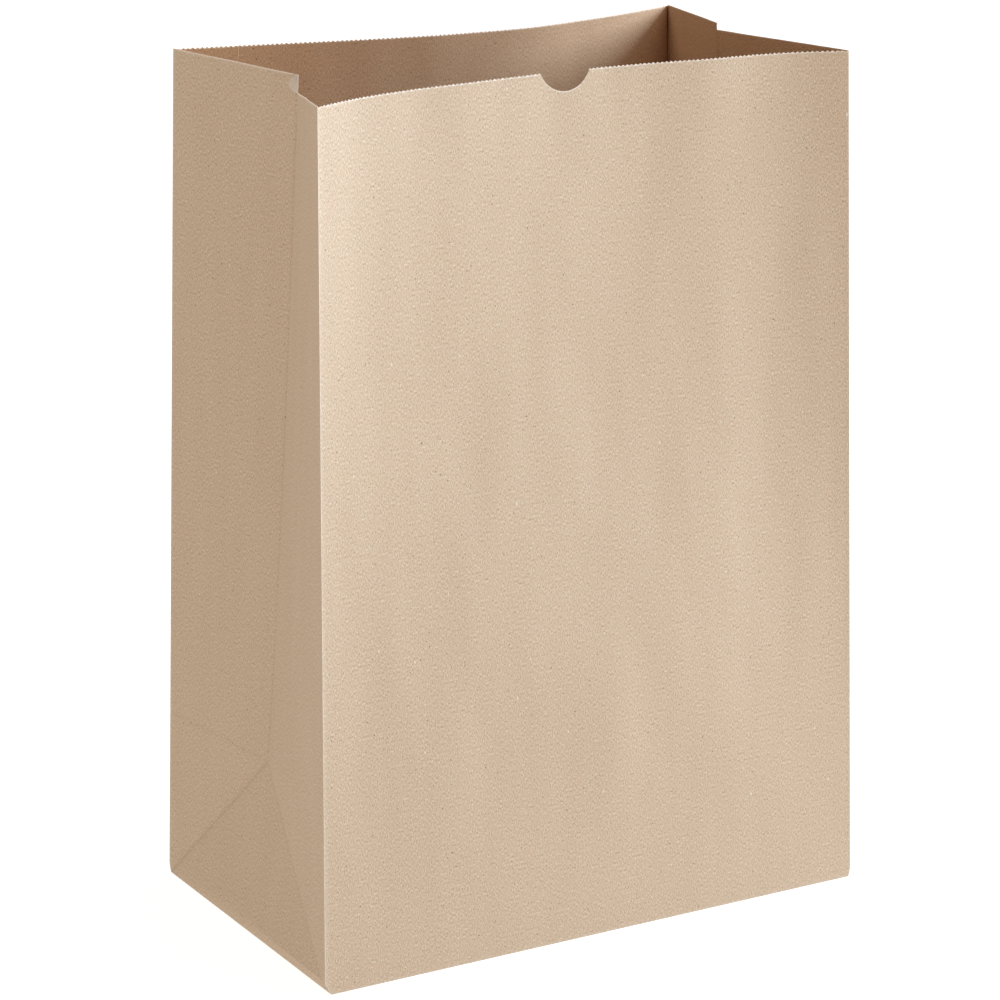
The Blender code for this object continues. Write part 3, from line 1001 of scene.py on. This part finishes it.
def softbox(name, turn, rise, size, power, tint):
    """A rectangular light that faces the middle of the sack."""
    light = bpy.data.lights.new(name, "AREA")
    light.shape = "RECTANGLE"
    light.size, light.size_y = size
    light.energy = power
    light.color = tint
    lamp = bpy.data.objects.new(name, light)
    level = math.cos(rise)
    way = Vector((math.sin(turn) * level, -math.cos(turn) * level, math.sin(rise)))
    lamp.location = Vector((0, 0, LIGHT_AIM)) + way * LIGHT_DISTANCE
    lamp.rotation_euler = way.to_track_quat("Z", "Y").to_euler()
    bpy.context.collection.objects.link(lamp)


def surroundings(studio):
    """A room with a warm glow low down, dark walls and a pale ceiling."""
    world = bpy.data.worlds.new("studio")
    world.use_nodes = True
    tree = world.node_tree
    way = add(tree, "ShaderNodeTexCoord")
    split = add(tree, "ShaderNodeSeparateXYZ", {"Vector": way.outputs["Generated"]})
    bands = add(tree, "ShaderNodeValToRGB", {"Fac": split.outputs["Z"]})
    stops = bands.color_ramp.elements
    stops[0].position = HORIZON_TOP
    stops[0].color = (*studio.horizon, 1)
    stops[1].position = ZENITH_START
    stops[1].color = (*studio.zenith, 1)
    for place in GLOOM_BAND:
        stops.new(place).color = (*studio.gloom, 1)
    tree.links.new(bands.outputs["Color"], tree.nodes["Background"].inputs["Color"])
    tree.nodes["Background"].inputs["Strength"].default_value = ROOM_LIGHT
    bpy.context.scene.world = world


def floor(studio):
    """A sheet of matt glass that light from below whitens, wide enough to fill the view."""
    bm = bmesh.new()
    bmesh.ops.create_grid(bm, x_segments=1, y_segments=1, size=FLOOR_REACH)
    bmesh.ops.translate(bm, vec=(0, 0, CAD_BOX[0][2] - FLOOR_GAP), verts=bm.verts)
    ground = add_piece("floor", bm)
    material = bpy.data.materials.new("matt_floor")
    material.use_nodes = True
    shader = material.node_tree.nodes["Principled BSDF"]
    shader.inputs["Base Color"].default_value = (*studio.floor, 1)
    shader.inputs["Emission Color"].default_value = (*studio.glow, 1)
    shader.inputs["Emission Strength"].default_value = studio.floor_glow
    shader.inputs["Roughness"].default_value = 0.9
    shader.inputs["Specular IOR Level"].default_value = 0.1
    ground.data.materials.append(material)


def camera(studio):
    """The camera, at the picture's viewing angle."""
    eye = bpy.data.cameras.new("camera")
    eye.lens = studio.lens
    eye.sensor_width = 36
    eye.clip_end = 100
    holder = bpy.data.objects.new("camera", eye)
    turn = Matrix.Rotation(-studio.yaw, 4, "Z")
    tilt = Matrix.Rotation(math.pi / 2 - studio.pitch, 4, "X")
    roll = Matrix.Rotation(studio.roll, 4, "Z")
    holder.matrix_world = Matrix.Translation(studio.eye) @ turn @ tilt @ roll
    bpy.context.collection.objects.link(holder)
    bpy.context.scene.camera = holder


class SACK_OT_studio(bpy.types.Operator):
    """Make the floor, the lights and the camera"""

    bl_idname = "sack.studio"
    bl_label = "Studio"

    def execute(self, context):
        studio = context.scene.sack_studio
        floor(studio)
        tint = studio.key_colour
        softbox("key", studio.key_turn, studio.key_rise, KEY_SIZE, studio.key_power, tint)
        softbox("fill", FILL_TURN, FILL_RISE, FILL_SIZE, studio.fill_power, tint)
        surroundings(studio)
        camera(studio)
        context.scene.view_settings.view_transform = "Standard"
        return {"FINISHED"}


class SACK_PT_panel(bpy.types.Panel):
    """The sack's sizes, colours and operators"""

    bl_label = "Paper Sack"
    bl_idname = "SACK_PT_panel"
    bl_space_type = "VIEW_3D"
    bl_region_type = "UI"
    bl_category = "Paper Sack"

    def draw(self, context):
        for group in (context.scene.sack_sizes, context.scene.sack_finish, context.scene.sack_studio):
            box = self.layout.box()
            for name in group.__annotations__:
                box.prop(group, name)
        self.layout.operator(SACK_OT_bag.bl_idname)
        self.layout.operator(SACK_OT_studio.bl_idname)


CLASSES = (SackSettings, FinishSettings, StudioSettings, SACK_OT_bag, SACK_OT_studio, SACK_PT_panel)


def register():
    """Adds the classes and the scene's settings."""
    for kind in CLASSES:
        bpy.utils.register_class(kind)
    bpy.types.Scene.sack_sizes = PointerProperty(type=SackSettings)
    bpy.types.Scene.sack_finish = PointerProperty(type=FinishSettings)
    bpy.types.Scene.sack_studio = PointerProperty(type=StudioSettings)


def unregister():
    """Takes them away again."""
    del bpy.types.Scene.sack_studio
    del bpy.types.Scene.sack_finish
    del bpy.types.Scene.sack_sizes
    for kind in reversed(CLASSES):
        bpy.utils.unregister_class(kind)


def main():
    """Makes the sack and its studio."""
    register()
    bpy.ops.sack.bag()
    bpy.ops.sack.studio()


if __name__ == "__main__":
    main()
